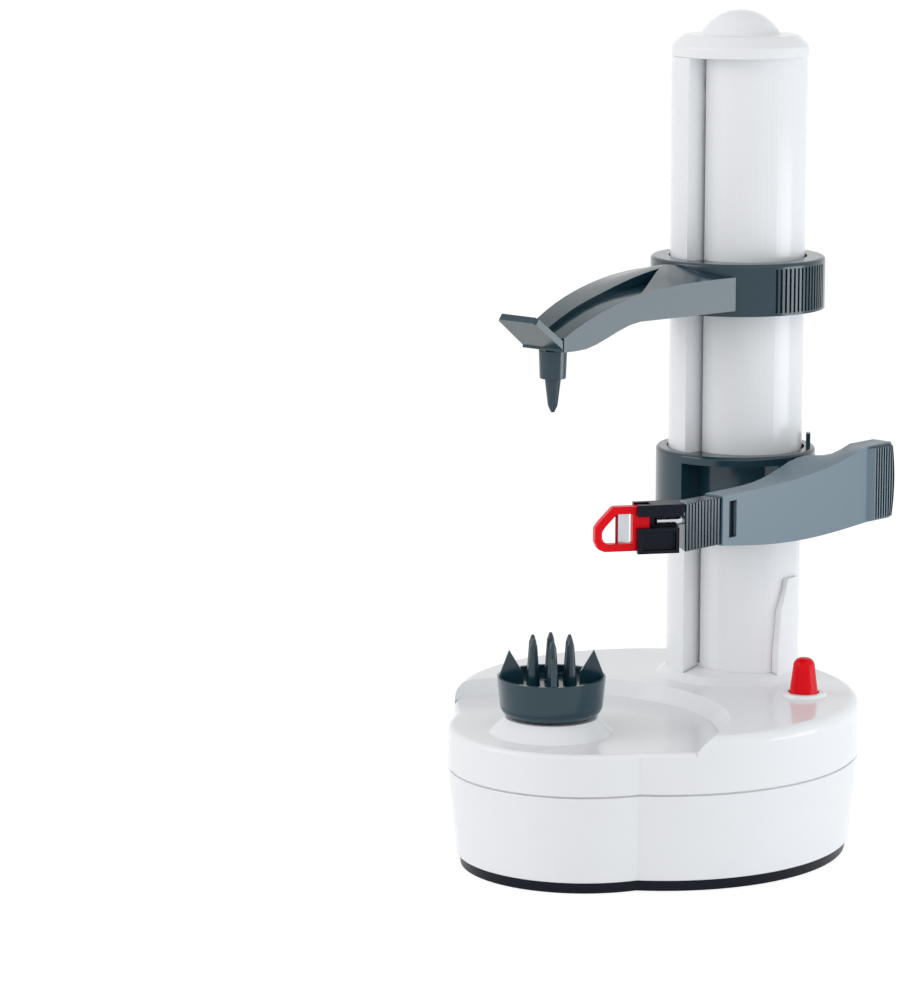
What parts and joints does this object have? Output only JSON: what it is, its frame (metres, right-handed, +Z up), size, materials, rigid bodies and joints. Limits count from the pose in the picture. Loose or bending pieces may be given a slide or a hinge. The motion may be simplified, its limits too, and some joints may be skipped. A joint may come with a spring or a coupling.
{
  "type": "electric fruit peeler",
  "caption": "Free-standing tower peeler: a round base with a tray, a turning spiked cup, a column with a sliding holder arm and a geared carriage whose sprung lever carries a tilting blade.",
  "frame": {"origin": "on the table plane under the column axis", "axes": "+Z up along the column; the spindle stands in front of the column, towards -Y; the peeling lever is on the +X side"},
  "size_m": [0.147, 0.1633, 0.3],
  "materials": {
    "white_plastic": "glossy moulded ABS, near white",
    "slate_plastic": "glossy moulded ABS, dark slate",
    "grey_plastic": "satin moulded ABS, blue grey",
    "black_plastic": "satin moulded plastic, black",
    "red_plastic": "glossy moulded plastic, red",
    "nylon": "natural nylon",
    "steel": "bright steel",
    "brass": "plain brass",
    "rubber": "black rubber",
    "cell_jacket": "plain printed jacket, grey"
  },
  "bodies": {
    "base": {"lower_housing": "white_plastic", "upper_housing": "white_plastic", "sole": "black_plastic", "rubber_pads": "rubber", "battery_door": "black_plastic", "housing_screws": "steel", "batteries": "cell_jacket", "battery_contacts": "steel", "gear_frame": "nylon", "gear_axles": "steel", "axle_clips": "steel", "motor": "steel", "power_switch": "black_plastic", "spindle_bush": "brass", "frame_bushes": "brass", "column_shell": "white_plastic", "column_core": "white_plastic", "column_cap": "white_plastic", "top_bearing": "nylon", "button_spring": "steel"},
    "motor_rotor": {"motor_shaft": "steel", "motor_pinion": "brass"},
    "reduction": {"reduction_gear": "nylon"},
    "idler": {"idler_gear": "nylon"},
    "screw": {"lead_screw": "steel", "screw_gear": "nylon"},
    "spindle": {"spindle_shaft": "steel", "spindle_gear": "nylon", "food_cup": "slate_plastic"},
    "button": {"power_button": "red_plastic"},
    "carriage": {"carriage_ring": "slate_plastic", "lead_nut": "nylon", "pivot_pin": "steel", "lever_spring": "steel"},
    "lever": {"peeling_lever": "grey_plastic", "blade_lock": "slate_plastic", "swivel_pin": "steel"},
    "blade_head": {"blade_frame": "black_plastic", "blade_guard": "red_plastic", "blade": "steel"},
    "holder": {"holder_arm": "slate_plastic"},
    "holder_pin": {"food_pin": "slate_plastic", "pin_clip": "steel"}
  },
  "joints": [
    {"name": "drive_spin", "type": "hinge", "parent": "base", "child": "idler", "pos_m": [0, -0.05, 0.04], "axis": [0, 0, 1], "range_deg": [-1680, 960]},
    {"name": "reduction_spin", "type": "hinge", "parent": "base", "child": "reduction", "pos_m": [0.037, -0.05, 0.04], "axis": [0, 0, 1], "range_deg": [-4116, 7201]},
    {"name": "motor_spin", "type": "hinge", "parent": "base", "child": "motor_rotor", "pos_m": [0.04487, -0.03053, 0.033], "axis": [0, 0, 1], "range_deg": [-28801, 16459]},
    {"name": "screw_spin", "type": "hinge", "parent": "base", "child": "screw", "pos_m": [0, 0, 0.15], "axis": [0, 0, 1], "range_deg": [-1441, 2521]},
    {"name": "spindle_spin", "type": "hinge", "parent": "base", "child": "spindle", "pos_m": [0, -0.1, 0.05], "axis": [0, 0, 1], "range_deg": [-1441, 2521]},
    {"name": "carriage_travel", "type": "slide", "parent": "base", "child": "carriage", "axis": [0, 0, 1], "range_m": [-0.0421, 0.0241]},
    {"name": "lever_swing", "type": "hinge", "parent": "carriage", "child": "lever", "pos_m": [0.036, 0.002, 0.128], "axis": [0, 0, 1], "range_deg": [-4, 20], "stiffness_Nm_per_rad": 0.08},
    {"name": "blade_tilt", "type": "hinge", "parent": "lever", "child": "blade_head", "pos_m": [0.046, -0.0844, 0.1302], "axis": [-0.5736, -0.8192, 0], "range_deg": [-20, 20]},
    {"name": "holder_slide", "type": "slide", "parent": "base", "child": "holder", "axis": [0, 0, 1], "range_m": [-0.02, 0.065]},
    {"name": "holder_pin_spin", "type": "hinge", "parent": "holder", "child": "holder_pin", "pos_m": [0, -0.1, 0.18], "axis": [0, 0, 1], "continuous": true},
    {"name": "button_press", "type": "slide", "parent": "base", "child": "button", "axis": [0, 0, -1], "range_m": [0, 0.0025], "stiffness_N_per_m": 250, "deforming": ["button_spring"]}
  ],
  "couplings": [
    {"joint": "reduction_spin", "follows": "drive_spin", "ratio": -4.2857},
    {"joint": "motor_spin", "follows": "drive_spin", "ratio": 17.143},
    {"joint": "screw_spin", "follows": "drive_spin", "ratio": -1.5},
    {"joint": "spindle_spin", "follows": "drive_spin", "ratio": -1.5},
    {"joint": "carriage_travel", "follows": "drive_spin", "m_per_rad": 0.0014324}
  ]
}
